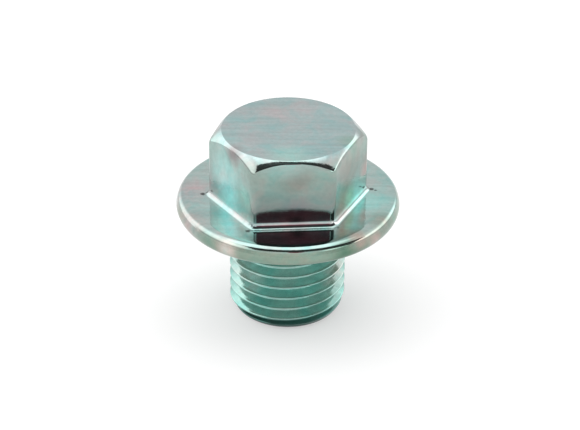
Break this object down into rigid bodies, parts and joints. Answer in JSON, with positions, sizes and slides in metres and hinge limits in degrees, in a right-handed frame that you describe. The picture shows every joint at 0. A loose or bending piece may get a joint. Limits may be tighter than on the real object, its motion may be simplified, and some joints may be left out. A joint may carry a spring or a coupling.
{
  "type": "oil drain plug",
  "caption": "One-piece flanged hexagon plug with a metric fine thread that closes an engine oil sump's drain hole.",
  "frame": {"origin": "on the plug's axis, in the plane of the sealing face under the flange", "axes": "+Z along the axis from the threaded shank towards the hexagon head; +Y away from the viewer, square to the turned hexagon's nearest flat to within 5 degrees"},
  "size_m": [0.0226, 0.0226, 0.0204],
  "materials": {
    "zinc_plate": "bright zinc plate with a clear blue-green passivate"
  },
  "bodies": {
    "root": {"drain_plug": "zinc_plate"}
  },
  "joints": []
}
